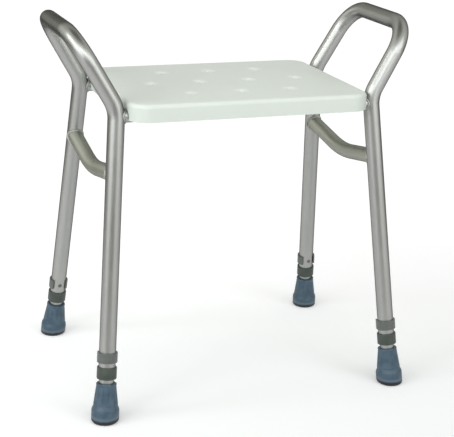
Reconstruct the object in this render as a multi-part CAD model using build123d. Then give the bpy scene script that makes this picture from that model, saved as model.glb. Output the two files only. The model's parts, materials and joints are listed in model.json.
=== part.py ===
from build123d import *
import os

# Height-adjustable shower stool: two bent-tube side frames with handles, two cross rails,
# a moulded seat, and four telescopic legs held by snap-on clips and shod with rubber ferrules.
# Millimetres, +Z up, origin on the floor under the middle of the seat, front towards -Y.

# ---- Driving dimensions -------------------------------------------------------------------

# Seat moulding
SEAT_WIDTH = 380.0
SEAT_DEPTH = 284.0
SEAT_RIM_HEIGHT = 26.0
SEAT_WALL = 3.0
SEAT_CORNER_RADIUS = 29.0
SEAT_EDGE_RADIUS = 6.0
SEAT_RISE_OVER_RAIL = 12.5     # seat surface above the top of the rails
RIB_THICKNESS = 2.4
SADDLE_RIB_DEPTH = 16.0        # ribs along Y, which straddle the rails
CROSS_RIB_DEPTH = 12.0
RAIL_NOTCH_MARGIN = 2.0        # room round a rail where it passes through the rim
DRAIN_PITCH_X = 80.0
DRAIN_PITCH_Y = 75.0
DRAIN_HOLE_DIAMETER = 9.0
DRAIN_DISH_DIAMETER = 24.0
DRAIN_DISH_DEPTH = 1.2

# Side frames
TUBE_DIAMETER = 25.4
TUBE_WALL = 1.5
SEAT_SIDE_GAP = 1.3            # seat rim to the tube's inner face, before the knee is rounded
KNEE_HEIGHT = 461.0            # where leg and handle axes cross
KNEE_HALF_DEPTH = 106.0
LEG_SPLAY_X = 34.5             # how far each foot stands outside its knee
LEG_SPLAY_Y = 68.0
HANDLE_RISE = 106.5
HANDLE_LEAN = 61.2
HANDLE_TAPER = 6.5             # each upright leans this far towards the middle
KNEE_RADIUS = 50.0
HANDLE_CORNER_RADIUS = 50.0

# Braces and rails
BRACE_DIAMETER = 24.0
BRACE_DROP = 94.0              # brace ends below the knee
BRACE_SAG = 21.0
BRACE_RADIUS = 200.0
RAIL_DIAMETER = 19.0
RAIL_DROP = 11.0               # rail axis below the knee

# Seat screws
SCREW_DIAMETER = 4.2
SCREW_HEAD_DIAMETER = 8.0
SCREW_HEAD_HEIGHT = 2.8
SCREW_RECESS_WIDTH = 1.0
SCREW_BITE = 7.5               # length of thread in the seat's boss
SCREW_HOLE_CLEARANCE = 0.2
BOSS_DIAMETER = 12.0

# Telescopic legs. A station is a distance up the leg's axis from the floor.
SLIDE_CLEARANCE = 0.1          # radial, between the two leg tubes
EXTENSION_LENGTH = 318.0
HOLE_PITCH = 25.0
HOLE_COUNT = 7
COLLAR_GAP = 6.5               # bare extension between ferrule and collar
COLLAR_HEIGHT = 18.5
COLLAR_LIP = 2.5               # the part of a collar below the outer tube
COLLAR_WALL = 2.3
COLLAR_CHAMFER = 1.2
CLIP_GAP = 7.0                 # bare outer tube between collar and clip
CLIP_HEIGHT = 15.0
CLIP_WALL = 2.4
CLIP_CLEARANCE = 0.3
CLIP_ARM_REACH = 9.0           # how far the arms go past the middle of the tube
CLIP_ARM_TIP = 1.4             # thickness at the tips
CLIP_PAD_WIDTH = 9.0
CLIP_PAD_HEIGHT = 8.0
CLIP_PAD_RAISE = 0.8
PEG_DIAMETER = 6.0
PEG_CLEARANCE = 0.1
PEG_TIP_RECESS = 0.5           # peg tip inside the far face of the tube

# Ferrules
FERRULE_HEIGHT = 59.0
FERRULE_WALL = 3.8
FERRULE_FLARE = 6.1            # base ring beyond the top of the cone, radial
FERRULE_BASE_HEIGHT = 22.0
FERRULE_STEP = 2.4
FERRULE_SOLE = 10.0
FERRULE_EDGE_RADIUS = 4.0
SOLE_GROOVE_WIDTH = 2.0
SOLE_GROOVE_DEPTH = 1.5
SOLE_GROOVE_DIAMETERS = (16.0, 26.0)
WASHER_THICKNESS = 2.0
WASHER_HOLE_DIAMETER = 9.0

# ---- Sizes that follow from them ----------------------------------------------------------

TUBE_RADIUS = TUBE_DIAMETER / 2
TUBE_BORE_RADIUS = TUBE_RADIUS - TUBE_WALL
EXTENSION_RADIUS = TUBE_BORE_RADIUS - SLIDE_CLEARANCE
EXTENSION_BORE_RADIUS = EXTENSION_RADIUS - TUBE_WALL
EXTENSION_START = FERRULE_SOLE + WASHER_THICKNESS
COLLAR_START = FERRULE_HEIGHT + COLLAR_GAP
COLLAR_RADIUS = TUBE_RADIUS + COLLAR_WALL
OUTER_TUBE_END = COLLAR_START + COLLAR_LIP
CLIP_STATION = COLLAR_START + COLLAR_HEIGHT + CLIP_GAP + CLIP_HEIGHT / 2
FERRULE_TOP_RADIUS = EXTENSION_RADIUS + FERRULE_WALL
FERRULE_BASE_RADIUS = FERRULE_TOP_RADIUS + FERRULE_FLARE
PEG_HOLE_RADIUS = PEG_DIAMETER / 2 + PEG_CLEARANCE

KNEE_X = SEAT_WIDTH / 2 + SEAT_SIDE_GAP + TUBE_RADIUS
RAIL_HEIGHT = KNEE_HEIGHT - RAIL_DROP
RAIL_TOP = RAIL_HEIGHT + RAIL_DIAMETER / 2
SEAT_TOP = RAIL_TOP + SEAT_RISE_OVER_RAIL
SEAT_UNDERSIDE = SEAT_TOP - SEAT_WALL
RIM_BOTTOM = SEAT_TOP - SEAT_RIM_HEIGHT

LEFT, RIGHT = -1, 1
FRONT, REAR = -1, 1
SIDES = {"left": LEFT, "right": RIGHT}
ENDS = {"front": FRONT, "rear": REAR}


# ---- Helpers ------------------------------------------------------------------------------

def disc(radius, start, height):
    """A solid cylinder on the Z axis, from start upwards."""
    return Pos(0, 0, start) * Cylinder(radius, height, align=(Align.CENTER, Align.CENTER, Align.MIN))


def ring(outer, inner, start, height):
    """A tube on the Z axis, from start upwards."""
    return disc(outer, start, height) - disc(inner, start, height)


def rod_along_x(radius, start, end, height):
    """A solid rod along X at the given height."""
    return Pos(start, 0, height) * Rot(0, 90, 0) * disc(radius, 0, end - start)


def knee(side, end):
    return Vector(side * KNEE_X, end * KNEE_HALF_DEPTH, KNEE_HEIGHT)


def foot(side, end):
    return Vector(side * (KNEE_X + LEG_SPLAY_X), end * (KNEE_HALF_DEPTH + LEG_SPLAY_Y), 0)


def handle_corner(side, end):
    return Vector(side * (KNEE_X + HANDLE_LEAN), end * (KNEE_HALF_DEPTH - HANDLE_TAPER),
                  KNEE_HEIGHT + HANDLE_RISE)


def leg_point_at_height(side, end, height):
    low, high = foot(side, end), knee(side, end)
    return low + (high - low) * (height / KNEE_HEIGHT)


def leg_frame(side, end):
    """A leg's own frame: origin on the floor, Z up the leg, X square to it, away from the seat."""
    up = (knee(side, end) - foot(side, end)).normalized()
    away = Vector(0, end, 0)
    away = (away - up * away.dot(up)).normalized()
    return Plane(origin=foot(side, end), x_dir=away, z_dir=up)


def swept_rod(path, diameter):
    section = Plane(origin=path @ 0, z_dir=path % 0) * Circle(diameter / 2)
    return sweep(section, path=path)


def bent_tube(path, diameter):
    return swept_rod(path, diameter) - swept_rod(path, diameter - 2 * TUBE_WALL)


# ---- Side frames, braces and rails --------------------------------------------------------

def frame_path(side):
    front_end = leg_frame(side, FRONT).from_local_coords(Vector(0, 0, OUTER_TUBE_END))
    rear_end = leg_frame(side, REAR).from_local_coords(Vector(0, 0, OUTER_TUBE_END))
    corners = [front_end, knee(side, FRONT), handle_corner(side, FRONT),
               handle_corner(side, REAR), knee(side, REAR), rear_end]
    radii = [KNEE_RADIUS, HANDLE_CORNER_RADIUS, HANDLE_CORNER_RADIUS, KNEE_RADIUS]
    return FilletPolyline(*corners, radius=radii)


def peg_hole(side, end):
    length = 2 * TUBE_DIAMETER
    return leg_frame(side, end) * rod_along_x(PEG_HOLE_RADIUS, -length / 2, length / 2, CLIP_STATION)


def make_side_frame(side):
    frame = bent_tube(frame_path(side), TUBE_DIAMETER)
    for end in ENDS.values():
        frame -= peg_hole(side, end)
    return frame


def make_side_brace(side):
    end_height = KNEE_HEIGHT - BRACE_DROP
    middle = leg_point_at_height(side, FRONT, end_height - BRACE_SAG)
    path = FilletPolyline(leg_point_at_height(side, FRONT, end_height),
                          Vector(middle.X, 0, middle.Z),
                          leg_point_at_height(side, REAR, end_height),
                          radius=BRACE_RADIUS)
    return bent_tube(path, BRACE_DIAMETER) - swept_rod(frame_path(side), TUBE_DIAMETER)


def rib_x(index):
    """Ribs along Y stand midway between neighbouring columns of drain holes."""
    return (index + 0.5) * DRAIN_PITCH_X / 2


def rail_y(end):
    return leg_point_at_height(RIGHT, end, RAIL_HEIGHT).Y


def rail_rod(end, radius):
    reach = leg_point_at_height(RIGHT, end, RAIL_HEIGHT).X
    return Pos(0, rail_y(end), 0) * rod_along_x(radius, -reach, reach, RAIL_HEIGHT)


def screw_x():
    """The screws go into bosses on the seat's third rib from the middle."""
    return rib_x(2)


def make_seat_rail(end):
    rail = rail_rod(end, RAIL_DIAMETER / 2) - rail_rod(end, RAIL_DIAMETER / 2 - TUBE_WALL)
    for side in SIDES.values():
        rail -= swept_rod(frame_path(side), TUBE_DIAMETER)
        hole = disc(SCREW_DIAMETER / 2 + SCREW_HOLE_CLEARANCE, RAIL_HEIGHT - RAIL_DIAMETER, 2 * RAIL_DIAMETER)
        rail -= Pos(side * screw_x(), rail_y(end), 0) * hole
    return rail


# ---- Seat ---------------------------------------------------------------------------------

def drain_points():
    """Staggered rows: three holes in the outer rows, four in the middle one."""
    points = []
    for row in (-1, 0, 1):
        columns = (-1.5, -0.5, 0.5, 1.5) if row == 0 else (-1, 0, 1)
        points += [(column * DRAIN_PITCH_X, row * DRAIN_PITCH_Y) for column in columns]
    return points


def rib_positions():
    room = SEAT_WIDTH / 2 - SEAT_CORNER_RADIUS
    count = int(room / rib_x(0) / 2 + 0.5)
    return [side * rib_x(index) for index in range(count) for side in SIDES.values()]


def rail_notch():
    """A slot with a round top, open downwards, in the rim round a rail."""
    radius = RAIL_DIAMETER / 2 + RAIL_NOTCH_MARGIN
    width = 4 * SEAT_WALL
    arch = rod_along_x(radius, -width / 2, width / 2, 0)
    return arch + Box(width, 2 * radius, SEAT_RIM_HEIGHT, align=(Align.CENTER, Align.CENTER, Align.MAX))


def make_seat():
    outline = RectangleRounded(SEAT_WIDTH, SEAT_DEPTH, SEAT_CORNER_RADIUS)
    block = Pos(0, 0, RIM_BOTTOM) * extrude(outline, SEAT_RIM_HEIGHT)
    top_edges = block.edges().group_by(Axis.Z)[-1]
    shell = fillet(top_edges, SEAT_EDGE_RADIUS)

    inner_width = SEAT_WIDTH - 2 * SEAT_WALL
    inner_depth = SEAT_DEPTH - 2 * SEAT_WALL
    pocket = RectangleRounded(inner_width, inner_depth, SEAT_CORNER_RADIUS - SEAT_WALL)
    hollow = Pos(0, 0, RIM_BOTTOM) * extrude(pocket, SEAT_RIM_HEIGHT - SEAT_WALL)
    hollow = fillet(hollow.edges().group_by(Axis.Z)[-1], SEAT_EDGE_RADIUS - SEAT_WALL)
    shell -= hollow

    top_down = (Align.CENTER, Align.CENTER, Align.MAX)
    for x in rib_positions():
        shell += Pos(x, 0, SEAT_UNDERSIDE) * Box(RIB_THICKNESS, inner_depth, SADDLE_RIB_DEPTH, align=top_down)
    for row in (-0.5, 0.5):
        cross_rib = Box(inner_width, RIB_THICKNESS, CROSS_RIB_DEPTH, align=top_down)
        shell += Pos(0, row * DRAIN_PITCH_Y, SEAT_UNDERSIDE) * cross_rib

    for end in ENDS.values():
        for side in SIDES.values():
            boss = disc(BOSS_DIAMETER / 2, SEAT_UNDERSIDE - SADDLE_RIB_DEPTH, SADDLE_RIB_DEPTH)
            shell += Pos(side * screw_x(), rail_y(end), 0) * boss
        shell -= rail_rod(end, RAIL_DIAMETER / 2)
        for side in SIDES.values():
            pilot = disc(SCREW_DIAMETER / 2, RAIL_HEIGHT, RAIL_TOP + SCREW_BITE - RAIL_HEIGHT)
            shell -= Pos(side * screw_x(), rail_y(end), 0) * pilot
            shell -= Pos(side * SEAT_WIDTH / 2, rail_y(end), RAIL_HEIGHT) * rail_notch()

    dish_radius = DRAIN_DISH_DIAMETER / 2
    ball_radius = (dish_radius ** 2 + DRAIN_DISH_DEPTH ** 2) / (2 * DRAIN_DISH_DEPTH)
    for x, y in drain_points():
        shell -= Pos(x, y, SEAT_TOP - DRAIN_DISH_DEPTH + ball_radius) * Sphere(ball_radius)
        shell -= Pos(x, y, 0) * disc(DRAIN_HOLE_DIAMETER / 2, SEAT_UNDERSIDE, 2 * SEAT_WALL)
    return shell


def make_seat_screw(side, end):
    """A pan-head screw from below, with a cross recess."""
    rail_bottom = RAIL_HEIGHT - RAIL_DIAMETER / 2
    shank = disc(SCREW_DIAMETER / 2, rail_bottom, RAIL_TOP + SCREW_BITE - rail_bottom)
    head = disc(SCREW_HEAD_DIAMETER / 2, rail_bottom - SCREW_HEAD_HEIGHT, SCREW_HEAD_HEIGHT)
    head = fillet(head.edges().group_by(Axis.Z)[0], SCREW_HEAD_HEIGHT / 3)
    recess_depth = SCREW_HEAD_HEIGHT / 2
    for turn in (0, 90):
        slot = Box(SCREW_HEAD_DIAMETER / 2, SCREW_RECESS_WIDTH, recess_depth,
                   align=(Align.CENTER, Align.CENTER, Align.MIN))
        head -= Pos(0, 0, rail_bottom - SCREW_HEAD_HEIGHT) * Rot(0, 0, turn) * slot
    return Pos(side * screw_x(), rail_y(end), 0) * (shank + head)


# ---- Leg fittings, each made in its leg's own frame ---------------------------------------

def make_leg_extension():
    tube = ring(EXTENSION_RADIUS, EXTENSION_BORE_RADIUS, EXTENSION_START, EXTENSION_LENGTH)
    for index in range(HOLE_COUNT):
        station = CLIP_STATION + index * HOLE_PITCH
        tube -= rod_along_x(PEG_HOLE_RADIUS, -TUBE_DIAMETER, TUBE_DIAMETER, station)
    return tube


def make_leg_collar():
    """A sleeve on the end of the outer tube, with a lip under it that guides the extension."""
    sleeve = disc(COLLAR_RADIUS, COLLAR_START, COLLAR_HEIGHT)
    sleeve = chamfer(sleeve.edges().filter_by(GeomType.CIRCLE), COLLAR_CHAMFER)
    sleeve -= disc(EXTENSION_RADIUS + SLIDE_CLEARANCE, COLLAR_START, COLLAR_HEIGHT)
    return sleeve - disc(TUBE_RADIUS, OUTER_TUBE_END, COLLAR_HEIGHT)


def make_height_clip():
    """A snap clip: a half round back, two arms past the tube, and a peg through both tubes."""
    inner = TUBE_RADIUS + CLIP_CLEARANCE
    outer = inner + CLIP_WALL
    tip = inner + CLIP_ARM_TIP
    arms = Polygon((0, outer), (-CLIP_ARM_REACH, tip), (-CLIP_ARM_REACH, -tip), (0, -outer), align=None)
    body = Circle(outer) & Pos(outer, 0) * Rectangle(2 * outer, 2 * outer)
    body += arms
    body -= Circle(inner)
    body -= Pos(-outer, 0) * Rectangle(2 * outer, 2 * inner)
    start = CLIP_STATION - CLIP_HEIGHT / 2
    clip = Pos(0, 0, start) * extrude(body, CLIP_HEIGHT)
    pad = Box(CLIP_WALL + CLIP_PAD_RAISE, CLIP_PAD_WIDTH, CLIP_PAD_HEIGHT,
              align=(Align.MIN, Align.CENTER, Align.CENTER))
    clip += Pos(inner + CLIP_WALL / 4, 0, CLIP_STATION) * pad
    peg_tip = -(TUBE_RADIUS - PEG_TIP_RECESS)
    return clip + rod_along_x(PEG_DIAMETER / 2, peg_tip, inner + CLIP_WALL / 2, CLIP_STATION)


def ferrule_profile():
    """Radius against station: a cone on a wider base, carried below the floor for the flat cut."""
    base = FERRULE_BASE_RADIUS
    below_floor = -base / 2
    outline = Polygon((0, below_floor), (base, below_floor), (base, FERRULE_BASE_HEIGHT - FERRULE_STEP),
                      (base - FERRULE_STEP, FERRULE_BASE_HEIGHT), (FERRULE_TOP_RADIUS, FERRULE_HEIGHT),
                      (0, FERRULE_HEIGHT), align=None)
    return Plane.XZ * outline


def make_ferrule(side, end):
    body = revolve(ferrule_profile(), Axis.Z)
    body -= disc(EXTENSION_RADIUS, FERRULE_SOLE, FERRULE_HEIGHT)
    body = leg_frame(side, end) * body
    size = 4 * FERRULE_BASE_RADIUS
    floor_point = foot(side, end)
    on_floor = Pos(floor_point.X, floor_point.Y, 0)
    body -= on_floor * Box(size, size, size, align=(Align.CENTER, Align.CENTER, Align.MAX))
    sole = body.faces().sort_by(Axis.Z)[0]
    body = fillet(sole.outer_wire().edges(), FERRULE_EDGE_RADIUS)
    for diameter in SOLE_GROOVE_DIAMETERS:
        body -= on_floor * ring(diameter / 2 + SOLE_GROOVE_WIDTH, diameter / 2, 0, SOLE_GROOVE_DEPTH)
    return body


def make_ferrule_washer():
    return ring(EXTENSION_RADIUS, WASHER_HOLE_DIAMETER / 2, FERRULE_SOLE, WASHER_THICKNESS)


# ---- Nodes --------------------------------------------------------------------------------

def make_nodes():
    nodes = {}
    for name, side in SIDES.items():
        nodes[f"side_frame_{name}"] = make_side_frame(side)
        nodes[f"side_brace_{name}"] = make_side_brace(side)
    for name, end in ENDS.items():
        nodes[f"seat_rail_{name}"] = make_seat_rail(end)
    nodes["seat"] = make_seat()
    nodes["seat_screws"] = Compound([make_seat_screw(side, end).solid()
                                     for side in SIDES.values() for end in ENDS.values()])
    for end_name, end in ENDS.items():
        for side_name, side in SIDES.items():
            leg = f"{end_name}_{side_name}"
            own_frame = leg_frame(side, end)
            nodes[f"leg_extension_{leg}"] = own_frame * make_leg_extension()
            nodes[f"leg_collar_{leg}"] = own_frame * make_leg_collar()
            nodes[f"height_clip_{leg}"] = own_frame * make_height_clip()
            nodes[f"ferrule_{leg}"] = make_ferrule(side, end)
            nodes[f"ferrule_washer_{leg}"] = own_frame * make_ferrule_washer()
    return nodes


os.makedirs("parts", exist_ok=True)
for node_name, shape in make_nodes().items():
    export_step(shape, f"parts/{node_name}.step")
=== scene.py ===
import json
import math

import bmesh
import bpy
from mathutils import Matrix, Vector


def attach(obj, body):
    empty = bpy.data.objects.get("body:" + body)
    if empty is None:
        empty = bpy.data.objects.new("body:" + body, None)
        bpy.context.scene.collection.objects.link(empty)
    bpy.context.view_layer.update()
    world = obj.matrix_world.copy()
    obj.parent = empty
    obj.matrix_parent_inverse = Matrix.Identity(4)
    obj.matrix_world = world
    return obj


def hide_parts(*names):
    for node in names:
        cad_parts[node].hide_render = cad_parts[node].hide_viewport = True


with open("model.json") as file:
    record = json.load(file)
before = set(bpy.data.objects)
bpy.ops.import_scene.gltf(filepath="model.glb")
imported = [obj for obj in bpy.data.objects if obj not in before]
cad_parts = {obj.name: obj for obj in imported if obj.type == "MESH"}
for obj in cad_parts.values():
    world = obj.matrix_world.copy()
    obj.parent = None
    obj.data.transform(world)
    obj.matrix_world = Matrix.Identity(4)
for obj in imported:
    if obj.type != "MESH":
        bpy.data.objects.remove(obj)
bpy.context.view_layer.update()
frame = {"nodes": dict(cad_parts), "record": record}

# Looks of a height-adjustable shower stool: anodised tube frame, moulded seat, snap clips and
# rubber ferrules. Metres, +Z up, front towards -Y.

MM = 0.001
RECORD = frame["record"]


# ---- Shader writing -----------------------------------------------------------------------

class Wire:
    """A number that varies over a surface. Arithmetic on it adds the Math nodes."""

    def __init__(self, shader, socket):
        self.shader = shader
        self.socket = socket

    def math(self, operation, first, second=0.0):
        return self.shader.add("ShaderNodeMath", {"operation": operation}, {0: first, 1: second})

    def __add__(self, other):
        return self.math("ADD", self, other)

    def __mul__(self, other):
        return self.math("MULTIPLY", self, other)

    def __rsub__(self, other):
        return self.math("SUBTRACT", other, self)

    def smooth(self, low, high):
        """0 below low, 1 above high, and a soft step between."""
        limits = {"Value": self, "From Min": low, "From Max": high}
        return self.shader.add("ShaderNodeMapRange", {"interpolation_type": "SMOOTHSTEP"}, limits)


class Shader:
    """One node tree. add() makes any node and gives back one of its outputs as a Wire."""

    def __init__(self, owner):
        owner.use_nodes = True
        self.owner = owner
        self.tree = owner.node_tree

    def plug(self, value, socket):
        """Links a Wire to a socket, or writes a number or colour on it."""
        if isinstance(value, Wire):
            self.tree.links.new(value.socket, socket)
        elif hasattr(value, "__len__") and socket.type == "RGBA":
            socket.default_value = (*value, 1.0)
        else:
            socket.default_value = value

    def add(self, kind, settings=None, inputs=None, output=0):
        node = self.tree.nodes.new(kind)
        for name, value in (settings or {}).items():
            setattr(node, name, value)
        for key, value in (inputs or {}).items():
            self.plug(value, node.inputs[key])
        return Wire(self, node.outputs[output])

    def place(self):
        return self.add("ShaderNodeTexCoord", output="Object")

    def axes(self, vector):
        parts = self.add("ShaderNodeSeparateXYZ", inputs={0: vector})
        return [Wire(self, parts.socket.node.outputs[axis]) for axis in "XYZ"]

    def stretched(self, scale):
        """Object coordinates, scaled: a low scale along an axis makes long streaks."""
        return self.add("ShaderNodeMapping", inputs={"Vector": self.place(), "Scale": scale})

    def distance(self, vector, point):
        ends = {0: vector, 1: point}
        return self.add("ShaderNodeVectorMath", {"operation": "DISTANCE"}, ends, output="Value")

    def noise(self, vector, scale, detail=3.0):
        amounts = {"Vector": vector, "Scale": scale, "Detail": detail}
        return self.add("ShaderNodeTexNoise", inputs=amounts)

    def blend(self, mask, low_colour, high_colour):
        """low_colour where the mask is 0, high_colour where it is 1."""
        node = self.add("ShaderNodeMix", {"data_type": "RGBA"}, output=2).socket.node
        self.plug(mask, node.inputs[0])
        self.plug(low_colour, node.inputs[6])
        self.plug(high_colour, node.inputs[7])
        return Wire(self, node.outputs[2])

    def bump(self, height, distance, strength):
        amounts = {"Height": height, "Distance": distance, "Strength": strength}
        return self.add("ShaderNodeBump", inputs=amounts)


def new_finish(name, **surface):
    """A material with a Principled surface. Keywords are its sockets, with _ for a space."""
    shader = Shader(bpy.data.materials.new(name))
    dress(shader, **surface)
    return shader


def dress(shader, **surface):
    """Sets or links the Principled surface's sockets."""
    principled = shader.tree.nodes["Principled BSDF"]
    for name, value in surface.items():
        shader.plug(value, principled.inputs[name.replace("_", " ").title().replace("Ior", "IOR")])


# ---- Finishes -----------------------------------------------------------------------------

def drawn_metal(name, dark, light, roughness):
    """Aluminium tube with faint drawing marks along it, black at a glancing angle."""
    shader = new_finish(name, metallic=1.0, specular_tint=(0.0, 0.0, 0.0))
    streaks = shader.noise(shader.stretched((420, 420, 9)), 1.0, 4.0)
    clouds = shader.noise(shader.place(), 28.0, 3.0)
    tone = streaks * 0.5 + clouds * 0.5
    dress(shader,
          base_color=shader.blend(tone, dark, light),
          roughness=tone * 0.10 + roughness,
          normal=shader.bump(streaks, 0.00002, 0.3))
    return shader.owner


# Two outer rows of three drains and a middle row of four between them.
DRAIN_PITCH_X, DRAIN_PITCH_Y = 0.08, 0.075
DRAINS = [(DRAIN_PITCH_X * column, DRAIN_PITCH_Y * row, 0) for row in (-1, 1)
          for column in (-1, 0, 1)]
DRAINS += [(DRAIN_PITCH_X * column, 0, 0) for column in (-1.5, -0.5, 0.5, 1.5)]
# Out to these distances round each drain the seat is painted lighter, a painted highlight.
DRAIN_HIGHLIGHT_WITHIN, DRAIN_HIGHLIGHT_UP_TO = 0.005, 0.016


def seat_plastic():
    """Pale moulded plastic, smoother round the drains, with a lighter spot painted round each
    drain: a painted highlight.
    """
    shader = new_finish("seat_plastic", specular_ior_level=0.4)
    grain = shader.noise(shader.place(), 900.0, 2.0)
    clouds = shader.noise(shader.place(), 14.0, 3.0)
    level = shader.stretched((1, 1, 0))
    nearest = 1.0
    for drain in DRAINS:
        reach = shader.distance(level, drain)
        nearest = reach.math("MINIMUM", nearest, reach)
    away = nearest.smooth(DRAIN_HIGHLIGHT_WITHIN, DRAIN_HIGHLIGHT_UP_TO)
    tone = shader.blend(clouds, (0.70, 0.745, 0.68), (0.74, 0.78, 0.72))
    # Near the drains the base colour is the painted highlight.
    dress(shader,
          base_color=shader.blend(away, (0.80, 0.835, 0.78), tone),
          roughness=grain * 0.12 + away * 0.10 + 0.28,
          normal=shader.bump(grain, 0.00012, 0.5))
    return shader.owner


def moulded_plastic(name, dark, light, roughness):
    """Satin plastic with a fine moulded grain and slightly uneven colour."""
    shader = new_finish(name)
    grain = shader.noise(shader.place(), 700.0, 3.0)
    clouds = shader.noise(shader.place(), 60.0, 3.0)
    dress(shader,
          base_color=shader.blend(clouds, dark, light),
          roughness=grain * 0.15 + roughness,
          normal=shader.bump(grain, 0.00008, 0.5))
    return shader.owner


# Heights in metres, each pair a soft step. Below the first pair the rubber is painted near-black,
# painted shade at the bottom of the ferrule. Between the next two pairs a paler ring is painted, a
# painted highlight.
SOLE_SHADE_TOP = (0.0070, 0.0085)
RING_HIGHLIGHT_START, RING_HIGHLIGHT_END = (0.0075, 0.0095), (0.0115, 0.0135)


def grey_rubber():
    """Blue-grey rubber, with a near-black band painted at the sole, which is painted shade, and a
    paler ring just above it, which is a painted highlight.
    """
    shader = new_finish("grey_rubber")
    grain = shader.noise(shader.place(), 700.0, 3.0)
    clouds = shader.noise(shader.place(), 90.0, 4.0)
    side = shader.blend(clouds.smooth(0.3, 0.7), (0.040, 0.076, 0.112), (0.066, 0.112, 0.150))
    height = shader.axes(shader.place())[2] + clouds * 0.002
    # The paler ring is a painted highlight just above the sole.
    ring_highlight = height.smooth(*RING_HIGHLIGHT_START) * (1.0 - height.smooth(*RING_HIGHLIGHT_END))
    side = shader.blend(ring_highlight, side, (0.090, 0.130, 0.165))
    # Near-black at the sole: painted shade.
    dress(shader,
          base_color=shader.blend(height.smooth(*SOLE_SHADE_TOP), (0.006, 0.007, 0.010), side),
          roughness=grain * 0.15 + 0.40,
          normal=shader.bump(grain, 0.00008, 0.5))
    return shader.owner


def zinc_steel():
    """Zinc plated steel with faint clouds."""
    shader = new_finish("zinc_steel", metallic=1.0)
    clouds = shader.noise(shader.place(), 120.0, 4.0)
    dress(shader,
          base_color=shader.blend(clouds, (0.55, 0.56, 0.55), (0.72, 0.72, 0.68)),
          roughness=clouds * 0.2 + 0.25)
    return shader.owner


def weld_metal():
    """Dull cast metal of a weld bead."""
    shader = new_finish("weld_metal", metallic=1.0)
    clouds = shader.noise(shader.place(), 300.0, 4.0)
    dress(shader,
          base_color=shader.blend(clouds, (0.30, 0.30, 0.28), (0.46, 0.46, 0.43)),
          roughness=clouds * 0.2 + 0.45,
          normal=shader.bump(clouds, 0.0002, 0.5))
    return shader.owner


FINISHES = {
    "anodised_tube": drawn_metal("anodised_tube", (0.35, 0.35, 0.34), (0.43, 0.43, 0.42), 0.31),
    # The braces take a lighter, more olive copy of the tube metal: painted light and reflection.
    # It is also rougher.
    "brace_tube_painted_light": drawn_metal("brace_tube_painted_light", (0.43, 0.44, 0.39), (0.51, 0.52, 0.47), 0.45),
    "seat_plastic": seat_plastic(),
    "clip_plastic": moulded_plastic("clip_plastic",
                                    (0.075, 0.085, 0.080), (0.155, 0.165, 0.155), 0.35),
    "collar_plastic": moulded_plastic("collar_plastic",
                                      (0.022, 0.034, 0.028), (0.078, 0.090, 0.076), 0.4),
    "grey_rubber": grey_rubber(),
    "zinc_steel": zinc_steel(),
    "weld_metal": weld_metal(),
}

for part in RECORD["subparts"]:
    # The braces get that lighter copy of the tube metal, which is painted light.
    finish_name = "brace_tube_painted_light" if part["node"].startswith("side_brace") else part["material_slot"]
    frame["nodes"][part["node"]].material_slots[0].material = FINISHES[finish_name]


# ---- Modelling by hand --------------------------------------------------------------------

def take(piece):
    """Selects the piece alone and makes it active."""
    bpy.ops.object.select_all(action="DESELECT")
    piece.select_set(True)
    bpy.context.view_layer.objects.active = piece


def edit(piece):
    take(piece)
    bpy.ops.object.mode_set(mode="EDIT")


def leave_edit():
    bpy.ops.object.mode_set(mode="OBJECT")


def pick(piece, kind, test):
    """Selects only the VERT, EDGE or FACE items that pass the test."""
    bpy.ops.mesh.select_mode(type=kind)
    bpy.ops.mesh.select_all(action="DESELECT")
    mesh = bmesh.from_edit_mesh(piece.data)
    for item in {"VERT": mesh.verts, "EDGE": mesh.edges, "FACE": mesh.faces}[kind]:
        item.select_set(test(item))
    mesh.select_flush_mode()
    bmesh.update_edit_mesh(piece.data)


def close_up():
    """Merges what lies on the same spot and turns every face outwards."""
    bpy.ops.mesh.select_all(action="SELECT")
    bpy.ops.mesh.remove_doubles(threshold=0.01 * MM)
    bpy.ops.mesh.normals_make_consistent(inside=False)


def turned(name, profile, steps):
    """A shape turned on the Z axis. The profile is a list of (radius, height) in millimetres."""
    points = [Vector((radius * MM, 0, height * MM)) for radius, height in profile]
    bpy.ops.object.select_all(action="DESELECT")
    bpy.ops.mesh.primitive_plane_add(size=MM, enter_editmode=True)
    piece = bpy.context.object
    piece.name = name
    bpy.ops.mesh.select_mode(type="VERT")
    bpy.ops.mesh.select_all(action="SELECT")
    bpy.ops.mesh.merge(type="CENTER")
    bpy.ops.transform.translate(value=points[0])
    for last, point in zip(points, points[1:]):
        bpy.ops.mesh.extrude_vertices_move(TRANSFORM_OT_translate={"value": point - last})
    bpy.ops.mesh.select_all(action="SELECT")
    bpy.ops.mesh.spin(steps=steps, angle=math.tau, center=(0, 0, 0), axis=(0, 0, 1))
    close_up()
    leave_edit()
    return piece


def use_modifier(piece, kind, **settings):
    """Adds a modifier and applies it."""
    modifier = piece.modifiers.new(kind.title(), kind)
    for name, value in settings.items():
        setattr(modifier, name, value)
    take(piece)
    bpy.ops.object.modifier_apply(modifier=modifier.name)


def smooth(piece, angle):
    take(piece)
    bpy.ops.object.shade_smooth_by_angle(angle=math.radians(angle))


def put(piece, place):
    """Moves a piece to its place, and leaves the place in its mesh."""
    piece.matrix_world = place
    take(piece)
    bpy.ops.object.transform_apply(location=True, rotation=True, scale=True)


def round_angle(place):
    """How far round the Z axis a place is from +X, in degrees, the same for both ways."""
    return math.degrees(abs(math.atan2(place.y, place.x)))


# ---- Legs ---------------------------------------------------------------------------------

# Each leg's frame has its origin on the floor, Z up the leg and X away from the seat.
FEET = {mount["name"]: Vector(mount["pos_m"]) for mount in RECORD["mounts"]}
AXES = {joint["name"]: Vector(joint["axis"]) for joint in RECORD["behaviour"]["joints"]}
LEGS = ("front_left", "front_right", "rear_left", "rear_right")


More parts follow.
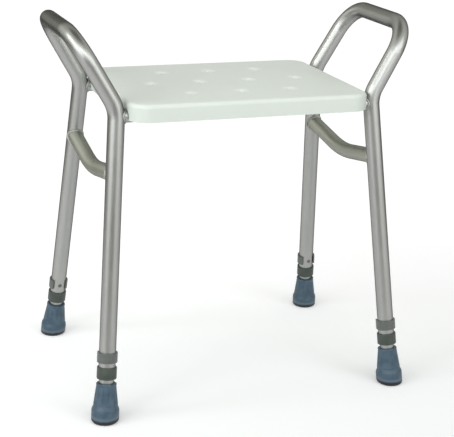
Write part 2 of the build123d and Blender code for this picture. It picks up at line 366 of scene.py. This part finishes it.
def leg_place(leg):
    """The leg's frame as a matrix: what is made round the origin goes on the leg with it."""
    up = -AXES[f"leg_{leg}_extend"].normalized()
    away = AXES[f"clip_{leg}_pull"].normalized()
    turn = Matrix((away, up.cross(away), up)).transposed().to_4x4()
    return Matrix.Translation(FEET[f"foot_{leg}"]) @ turn


# Lengths in the rest of this section, and in the next, are in millimetres.
TUBE_RADIUS = 12.7
EXTENSION_RADIUS = 11.1
CLIP_STATION = 98.5

FLUTES = 12
FLUTE_LOW, FLUTE_HIGH = 30.0, 51.0
FLUTE_HALF_DEGREES = 3
FLUTE_DEPTH = 0.955
SOLE_EDGE = 4.6
# Each step of the sole's pattern goes inwards by the first number and up or down by the second.
SOLE_RINGS = ((1.2, 0), (0.3, -1.2), (1.8, 0), (0.3, 1.2),
              (2.4, 0), (0.3, -1.2), (1.8, 0), (0.3, 1.2))
# The profiles below are lists of (radius, height).
FERRULE_PROFILE = (
    (0, 10), (11.15, 10), (11.15, 57.6), (11.4, 58.5), (12.2, 59), (13.8, 59), (14.8, 58.6),
    (15.3, 57.7), (15.35, 56.4), (15.1, 55.3), (15.15, 54.2),
    (15.4, 52.5), (15.55, FLUTE_HIGH), (16.4, 44), (17.3, 37), (18.1, FLUTE_LOW),
    (18.35, 28.5), (18.55, 26.8), (18.2, 26.2), (18.2, 25.4), (18.65, 24.8),
    (18.9, 23.4), (19.5, 21.9), (20.3, 20.6), (20.8, 19.2), (21, 17.4), (21, 12),
    (21, -8), (0, -8))
COLLAR_PROFILE = (
    (11.2, 66.0), (11.7, 65.5), (13.9, 65.5), (14.6, 65.75), (14.95, 66.4), (15, 67),
    (15, 69.3), (14.7, 69.6), (14.7, 70.1), (15, 70.4), (15, 82.6), (14.9, 83.2),
    (14.5, 83.8), (13.9, 84), (13.1, 84), (12.75, 83.7), (12.75, 68), (11.2, 68),
    (11.2, 66.0))


def in_flute(point):
    """Whether a point of an upright ferrule lies in one of the flutes of its outer side."""
    pitch = 360 / FLUTES
    off_flute = abs((round_angle(point) + pitch / 2) % pitch - pitch / 2)
    return (EXTENSION_RADIUS * MM + MM < point.xy.length and off_flute < FLUTE_HALF_DEGREES
            and (FLUTE_LOW - 0.1) * MM < point.z < (FLUTE_HIGH + 0.1) * MM)


def make_ferrule(leg):
    """A rubber ferrule: fluted cone, swelling base, flat grooved sole level with the floor."""
    ferrule = turned(f"rubber_ferrule_{leg}", FERRULE_PROFILE, steps=96)
    edit(ferrule)
    pick(ferrule, "VERT", lambda vertex: in_flute(vertex.co))
    bpy.ops.transform.resize(value=(FLUTE_DEPTH, FLUTE_DEPTH, 1), center_override=(0, 0, 0))
    leave_edit()
    put(ferrule, leg_place(leg))

    # The leg leans, so the sole is cut at the floor, its edge rounded and its rings sunk there.
    edit(ferrule)
    bpy.ops.mesh.select_all(action="SELECT")
    bpy.ops.mesh.bisect(plane_co=(0, 0, 0), plane_no=(0, 0, 1), clear_inner=True, use_fill=True)
    pick(ferrule, "FACE",
         lambda face: face.normal.z < -0.9 and face.calc_center_median().z < 0.1 * MM)
    bpy.ops.mesh.region_to_loop()
    bpy.ops.mesh.bevel(offset=SOLE_EDGE * MM, segments=6, affect="EDGES")
    pick(ferrule, "FACE",
         lambda face: face.normal.z < -0.99 and face.calc_center_median().z < 0.01 * MM)
    for width, depth in SOLE_RINGS:
        bpy.ops.mesh.inset(thickness=width * MM, depth=depth * MM)
    leave_edit()
    smooth(ferrule, 34)
    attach(ferrule, f"extension_{leg}")
    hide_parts(f"ferrule_{leg}")
    ferrule.data.materials.append(FINISHES["grey_rubber"])


def make_collar(leg):
    """A moulded sleeve with softened edges, a scored line and a guide lip for the inner tube."""
    collar = turned(f"moulded_collar_{leg}", COLLAR_PROFILE, steps=72)
    put(collar, leg_place(leg))
    smooth(collar, 40)
    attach(collar, "frame")
    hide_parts(f"leg_collar_{leg}")
    collar.data.materials.append(FINISHES["collar_plastic"])


CLIP_OUTER, CLIP_WALL, CLIP_HEIGHT = 15.4, 2.4, 15.0
# Degrees each way from the middle of the pad: the C, its flared ends, the pad and its ribs.
CLIP_WRAP, CLIP_FLARE_FROM, PAD_REACH, RIB_REACH = 132, 128, 21, 17
CLIP_FLARE = 1.045
PAD_HALF_HEIGHT = 4.0
RIBS = ((-2.6, -1.6), (-0.5, 0.5), (1.6, 2.6))
PEG_RADIUS = 3
PEG_TIP, PEG_ROOT = -(TUBE_RADIUS - 0.5), CLIP_OUTER - CLIP_WALL + 0.8


def on_pad(face, low, high, reach):
    """Whether a face of an upright clip is on the outer side, between two levels of the pad."""
    middle = face.calc_center_median()
    level = middle.z / MM - CLIP_STATION
    return (round_angle(middle) < reach and middle.xy.length > (CLIP_OUTER - 0.3) * MM
            and low < level < high and abs(face.normal.z) < 0.5)


def shape_clip_band(clip):
    """Cuts the C out of a ring, with level cuts for pad and ribs, flares its ends, thickens it."""
    edit(clip)
    pick(clip, "FACE", lambda face: round_angle(face.calc_center_median()) > CLIP_WRAP)
    bpy.ops.mesh.delete(type="FACE")
    for level in (-PAD_HALF_HEIGHT, *(edge for rib in RIBS for edge in rib), PAD_HALF_HEIGHT):
        bpy.ops.mesh.select_all(action="SELECT")
        bpy.ops.mesh.bisect(plane_co=(0, 0, (CLIP_STATION + level) * MM), plane_no=(0, 0, 1))
    pick(clip, "VERT", lambda vertex: round_angle(vertex.co) > CLIP_FLARE_FROM)
    bpy.ops.transform.resize(value=(CLIP_FLARE, CLIP_FLARE, 1),
                             center_override=(0, 0, CLIP_STATION * MM))
    leave_edit()
    use_modifier(clip, "SOLIDIFY", thickness=CLIP_WALL * MM, offset=-1, use_even_offset=True)


def raise_clip_pad(clip):
    """Raises the thumb pad and its three ribs, and rounds every edge."""
    edit(clip)
    pick(clip, "FACE", lambda face: on_pad(face, -PAD_HALF_HEIGHT, PAD_HALF_HEIGHT, PAD_REACH))
    bpy.ops.mesh.inset(thickness=0.7 * MM, depth=0.8 * MM)
    for low, high in RIBS:
        pick(clip, "FACE", lambda face: on_pad(face, low, high, RIB_REACH)
             and face.calc_center_median().xy.length > (CLIP_OUTER + 0.5) * MM)
        bpy.ops.mesh.inset(thickness=0.25 * MM, depth=0.35 * MM)
    leave_edit()
    use_modifier(clip, "BEVEL", width=0.45 * MM, segments=3, limit_method="ANGLE",
                 angle_limit=math.radians(50))


def add_clip_peg(clip):
    """Adds the peg, from inside the pad to the far side of the bore, with a rounded tip."""
    edit(clip)
    bpy.ops.mesh.select_all(action="DESELECT")
    bpy.ops.mesh.primitive_cylinder_add(
        vertices=32, radius=PEG_RADIUS * MM, depth=(PEG_ROOT - PEG_TIP) * MM,
        location=((PEG_ROOT + PEG_TIP) / 2 * MM, 0, CLIP_STATION * MM),
        rotation=(0, math.pi / 2, 0))
    pick(clip, "FACE", lambda face: face.normal.x < -0.9
         and face.calc_center_median().x < (PEG_TIP + 0.1) * MM)
    bpy.ops.mesh.region_to_loop()
    bpy.ops.mesh.bevel(offset=0.7 * MM, segments=3, affect="EDGES")
    leave_edit()


def make_clip(leg):
    """A snap clip: a springy C round the leg, a ribbed thumb pad, and the peg."""
    bpy.ops.object.select_all(action="DESELECT")
    bpy.ops.mesh.primitive_cylinder_add(
        vertices=72, radius=CLIP_OUTER * MM, depth=CLIP_HEIGHT * MM, end_fill_type="NOTHING",
        location=(0, 0, CLIP_STATION * MM), enter_editmode=True)
    clip = bpy.context.object
    clip.name = f"snap_clip_{leg}"
    leave_edit()
    put(clip, clip.matrix_world.copy())
    shape_clip_band(clip)
    raise_clip_pad(clip)
    add_clip_peg(clip)
    put(clip, leg_place(leg))
    smooth(clip, 40)
    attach(clip, f"clip_{leg}")
    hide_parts(f"height_clip_{leg}")
    clip.data.materials.append(FINISHES["clip_plastic"])


# ---- Welds --------------------------------------------------------------------------------

BRACE_RADIUS, BRACE_END_HEIGHT, BRACE_SAG = 12.0, 367.0, 21.0
RAIL_RADIUS, RAIL_HEIGHT = 9.5, 450.0
BEAD_POINTS, BEAD_NECK = 88, 0.8
BRACE_BEAD, RAIL_BEAD = 2.6, 2.0


def leg_point(leg, height):
    """The point on the leg's axis at a height above the floor."""
    place = leg_place(leg)
    up = place.col[2].xyz
    return place.translation + up * (height * MM / up.z)


def weld_bead(name, leg, height, run, radius, thickness, finish):
    """A rippled bead where a welded tube meets a leg. run points along the tube, off the leg.

    Each point starts on the tube's round outline and goes along the tube until it meets the
    round leg, which is a quadratic equation in that distance.
    """
    up = leg_place(leg).col[2].xyz
    middle = leg_point(leg, height)
    across = run.cross(up).normalized()
    rise = across.cross(run).normalized()
    curve = bpy.data.curves.new(name, "CURVE")
    curve.dimensions = "3D"
    curve.bevel_depth = thickness * MM
    curve.bevel_resolution = 3
    curve.resolution_u = 3
    bead = curve.splines.new("NURBS")
    bead.points.add(BEAD_POINTS - 1)
    for index, point in enumerate(bead.points):
        angle = math.tau * index / BEAD_POINTS
        reach = (across * math.cos(angle) + rise * math.sin(angle)) * (radius * MM)
        flat_reach, flat_run = reach - up * reach.dot(up), run - up * run.dot(up)
        a, b = flat_run.dot(flat_run), flat_reach.dot(flat_run)
        c = flat_reach.dot(flat_reach) - (TUBE_RADIUS * MM) ** 2
        along = (-b + math.sqrt(b * b - a * c)) / a
        point.co = (*(middle + reach + run * along), 1.0)
        point.radius = 1.0 if index % 2 else BEAD_NECK
    bead.use_cyclic_u = True
    bead.order_u = 3
    weld = bpy.data.objects.new(name, curve)
    bpy.context.scene.collection.objects.link(weld)
    take(weld)
    bpy.ops.object.convert(target="MESH")
    weld = bpy.context.object
    edit(weld)
    close_up()
    leave_edit()
    smooth(weld, 60)
    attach(weld, "frame")
    weld.data.materials.append(FINISHES[finish])


def make_welds():
    for leg in LEGS:
        end = leg_point(leg, BRACE_END_HEIGHT)
        middle = leg_point(leg, BRACE_END_HEIGHT - BRACE_SAG)
        run = (Vector((middle.x, 0, middle.z)) - end).normalized()
        weld_bead(f"brace_weld_{leg}", leg, BRACE_END_HEIGHT, run, BRACE_RADIUS, BRACE_BEAD,
                  "weld_metal")
        inwards = Vector((-math.copysign(1, end.x), 0, 0))
        weld_bead(f"rail_weld_{leg}", leg, RAIL_HEIGHT, inwards, RAIL_RADIUS, RAIL_BEAD,
                  "anodised_tube")


bpy.ops.object.select_all(action="DESELECT")
for leg_name in LEGS:
    make_ferrule(leg_name)
    make_collar(leg_name)
    make_clip(leg_name)
make_welds()


# ---- Room, light and camera ---------------------------------------------------------------

BLACK, WHITE = (0.0, 0.0, 0.0), (1.0, 1.0, 1.0)
FLOOR_RADIUS = 9.0
FLOOR_TONE, FLOOR_FAR_TONE = (0.92, 0.92, 0.91), (0.1, 0.1, 0.1)
# The floor glows a little near the stool, more towards the rear, and is all white farther out.
FLOOR_LIFT = 0.255
FLOOR_LIFT_RISE = 0.36
FLOOR_NEAR, FLOOR_FAR = 0.45, 1.5

# What the room gives to diffuse light, and what is mirrored beyond the lamps and cards.
WORLD_FILL = (0.31, 0.31, 0.30)
WORLD_MIRRORED = (0.78, 0.79, 0.73)

LAMP_TINT = (0.96, 1.0, 1.015)
LAMP_DISTANCE = 1.8
WIDE, NARROW = 1.45, 0.47
LAMP_LOW, LAMP_MIDDLE, LAMP_HIGH = 0.55, 1.15, 1.9


def seen_rays(shader):
    """Two masks: what the camera sees directly, and what it sees mirrored or through something."""
    direct, glossy, clear = (shader.add("ShaderNodeLightPath", output=name) for name in
                             ("Is Camera Ray", "Is Glossy Ray", "Is Transmission Ray"))
    return direct, glossy + clear


def make_floor():
    """A round floor that takes the stool's shadow and turns white away from it."""
    bpy.ops.mesh.primitive_circle_add(vertices=96, radius=FLOOR_RADIUS, fill_type="NGON",
                                      location=(0, 0, 0))
    floor = bpy.context.object
    floor.name = "floor"
    shader = new_finish("floor", roughness=0.9, specular_ior_level=0.0, emission_strength=1.0)
    place = shader.place()
    far = shader.distance(place, (0, 0, 0)).smooth(FLOOR_NEAR, FLOOR_FAR)
    near_lift = shader.axes(place)[1] * FLOOR_LIFT_RISE + FLOOR_LIFT
    direct, mirrored = seen_rays(shader)
    glow = (direct + mirrored) * (far * (1.0 - near_lift) + near_lift)
    dress(shader,
          base_color=shader.blend(far, FLOOR_TONE, FLOOR_FAR_TONE),
          emission_color=shader.blend(glow, BLACK, WHITE))
    floor.data.materials.append(shader.owner)


def make_world():
    """White to the camera, pale grey in mirrors, darker as diffuse light."""
    world = bpy.data.worlds.new("studio")
    bpy.context.scene.world = world
    shader = Shader(world)
    direct, mirrored = seen_rays(shader)
    tone = shader.blend(mirrored, WORLD_FILL, WORLD_MIRRORED)
    background = shader.tree.nodes["Background"]
    shader.plug(shader.blend(direct, tone, WHITE), background.inputs["Color"])


def softbox(name, azimuth, low, high, width, strength):
    """An upright soft lamp facing the stool. A strength of 1 looks white in a mirror."""
    turn = math.radians(azimuth)
    arm = Vector((math.cos(turn), math.sin(turn), 0))
    middle = arm * LAMP_DISTANCE + Vector((0, 0, (low + high) / 2))
    bpy.ops.object.light_add(type="AREA", location=middle)
    lamp = bpy.context.object
    lamp.name = name
    lamp.visible_camera = False
    lamp.data.shape = "RECTANGLE"
    lamp.data.size, lamp.data.size_y = width, high - low
    lamp.data.energy = strength * math.pi * width * (high - low)
    lamp.data.color = LAMP_TINT
    lamp.rotation_euler = (-arm).to_track_quat("-Z", "Y").to_euler()


def top_light(height, size, strength):
    """A square lamp over the stool, not mirrored in its tubes."""
    bpy.ops.object.light_add(type="AREA", location=(0, 0, height))
    lamp = bpy.context.object
    lamp.name = "top_light"
    lamp.visible_camera = lamp.visible_glossy = False
    lamp.data.size = size
    lamp.data.energy = strength * math.pi * size ** 2


def card(name, tone, place, size, turn):
    """A plain card that is only seen mirrored in metal: a grey one darkens the tubes' edges, a
    bright one lightens them. It isn't sampled as a lamp, which would leave bright dots."""
    bpy.ops.mesh.primitive_plane_add(size=1, location=place, rotation=turn)
    panel = bpy.context.object
    panel.name = name
    panel.scale = (*size, 1)
    panel.visible_camera = panel.visible_diffuse = panel.visible_shadow = False
    shader = new_finish(name, roughness=1.0, specular_ior_level=0.0, base_color=BLACK,
                        emission_color=tone, emission_strength=1.0)
    shader.owner.cycles.emission_sampling = "NONE"
    panel.data.materials.append(shader.owner)


def upright_card(name, start, end, low, high, tone):
    """A card standing up, from start to end on the floor plan."""
    run = Vector(end) - Vector(start)
    middle = (Vector(start) + Vector(end)) / 2
    card(name, tone, (*middle, (low + high) / 2), (run.length, high - low),
         (math.pi / 2, 0, math.atan2(run.y, run.x)))


CAMERA_PLACE = Vector((-0.6873, -1.8333, 0.8840))
CAMERA_YAW, CAMERA_PITCH, CAMERA_ROLL = (math.radians(angle) for angle in (20.90, -18.10, 1.94))
CAMERA_LENS = 100.46


def make_camera():
    """A long lens at the left of the front, looking a little down."""
    camera = bpy.data.objects.new("camera", bpy.data.cameras.new("camera"))
    bpy.context.scene.collection.objects.link(camera)
    camera.data.lens = CAMERA_LENS
    forward = Vector((math.sin(CAMERA_YAW) * math.cos(CAMERA_PITCH),
                      math.cos(CAMERA_YAW) * math.cos(CAMERA_PITCH), math.sin(CAMERA_PITCH)))
    right = Vector((math.cos(CAMERA_YAW), -math.sin(CAMERA_YAW), 0))
    up = right.cross(forward)
    tilted_right = math.cos(CAMERA_ROLL) * right + math.sin(CAMERA_ROLL) * up
    tilted_up = math.cos(CAMERA_ROLL) * up - math.sin(CAMERA_ROLL) * right
    turn = Matrix((tilted_right, tilted_up, -forward)).transposed().to_4x4()
    camera.matrix_world = Matrix.Translation(CAMERA_PLACE) @ turn
    bpy.context.scene.camera = camera


bpy.ops.object.select_all(action="DESELECT")
make_floor()
make_world()
# name, azimuth in degrees, low and high edge, width, strength
softbox("left_light", -150, LAMP_LOW, LAMP_HIGH, WIDE, 2.2)
softbox("left_strip", -150, LAMP_LOW, LAMP_MIDDLE, NARROW, 4.5)
softbox("edge_light", -180, LAMP_MIDDLE, LAMP_HIGH, NARROW, 7.5)
softbox("front_light", -105, LAMP_MIDDLE, LAMP_HIGH, WIDE, 3.5)
softbox("right_light", -60, LAMP_LOW, LAMP_HIGH, WIDE, 1.8)
softbox("right_strip", -60, LAMP_LOW, LAMP_MIDDLE, NARROW, 2.2)
top_light(LAMP_HIGH, 1.5, 0.7)
card("flat_top", (0.14, 0.14, 0.12), (0, 0, 2.1), (1.4, 1.4), (0, 0, 0))
# name, start and end on the floor plan, low and high edge, colour
upright_card("flat_front", (-1.30, -1.09), (0.30, -1.67), 0.0, 0.55, (0.20, 0.20, 0.17))
upright_card("flat_left_low", (-1.70, 0.00), (-0.85, 1.47), 0.0, 0.45, (0.22, 0.22, 0.19))
upright_card("flat_right_low", (1.60, 0.58), (1.60, -0.58), 0.0, 0.45, (0.22, 0.22, 0.19))
upright_card("flat_rear", (-0.85, 1.47), (0.30, 1.67), 0.95, 1.6, (0.50, 0.50, 0.44))
upright_card("bounce_rear_left", (-1.30, 1.09), (-0.85, 1.47), 0.45, 1.6, (1.60, 1.60, 1.45))
make_camera()
bpy.context.scene.view_settings.view_transform = "Standard"
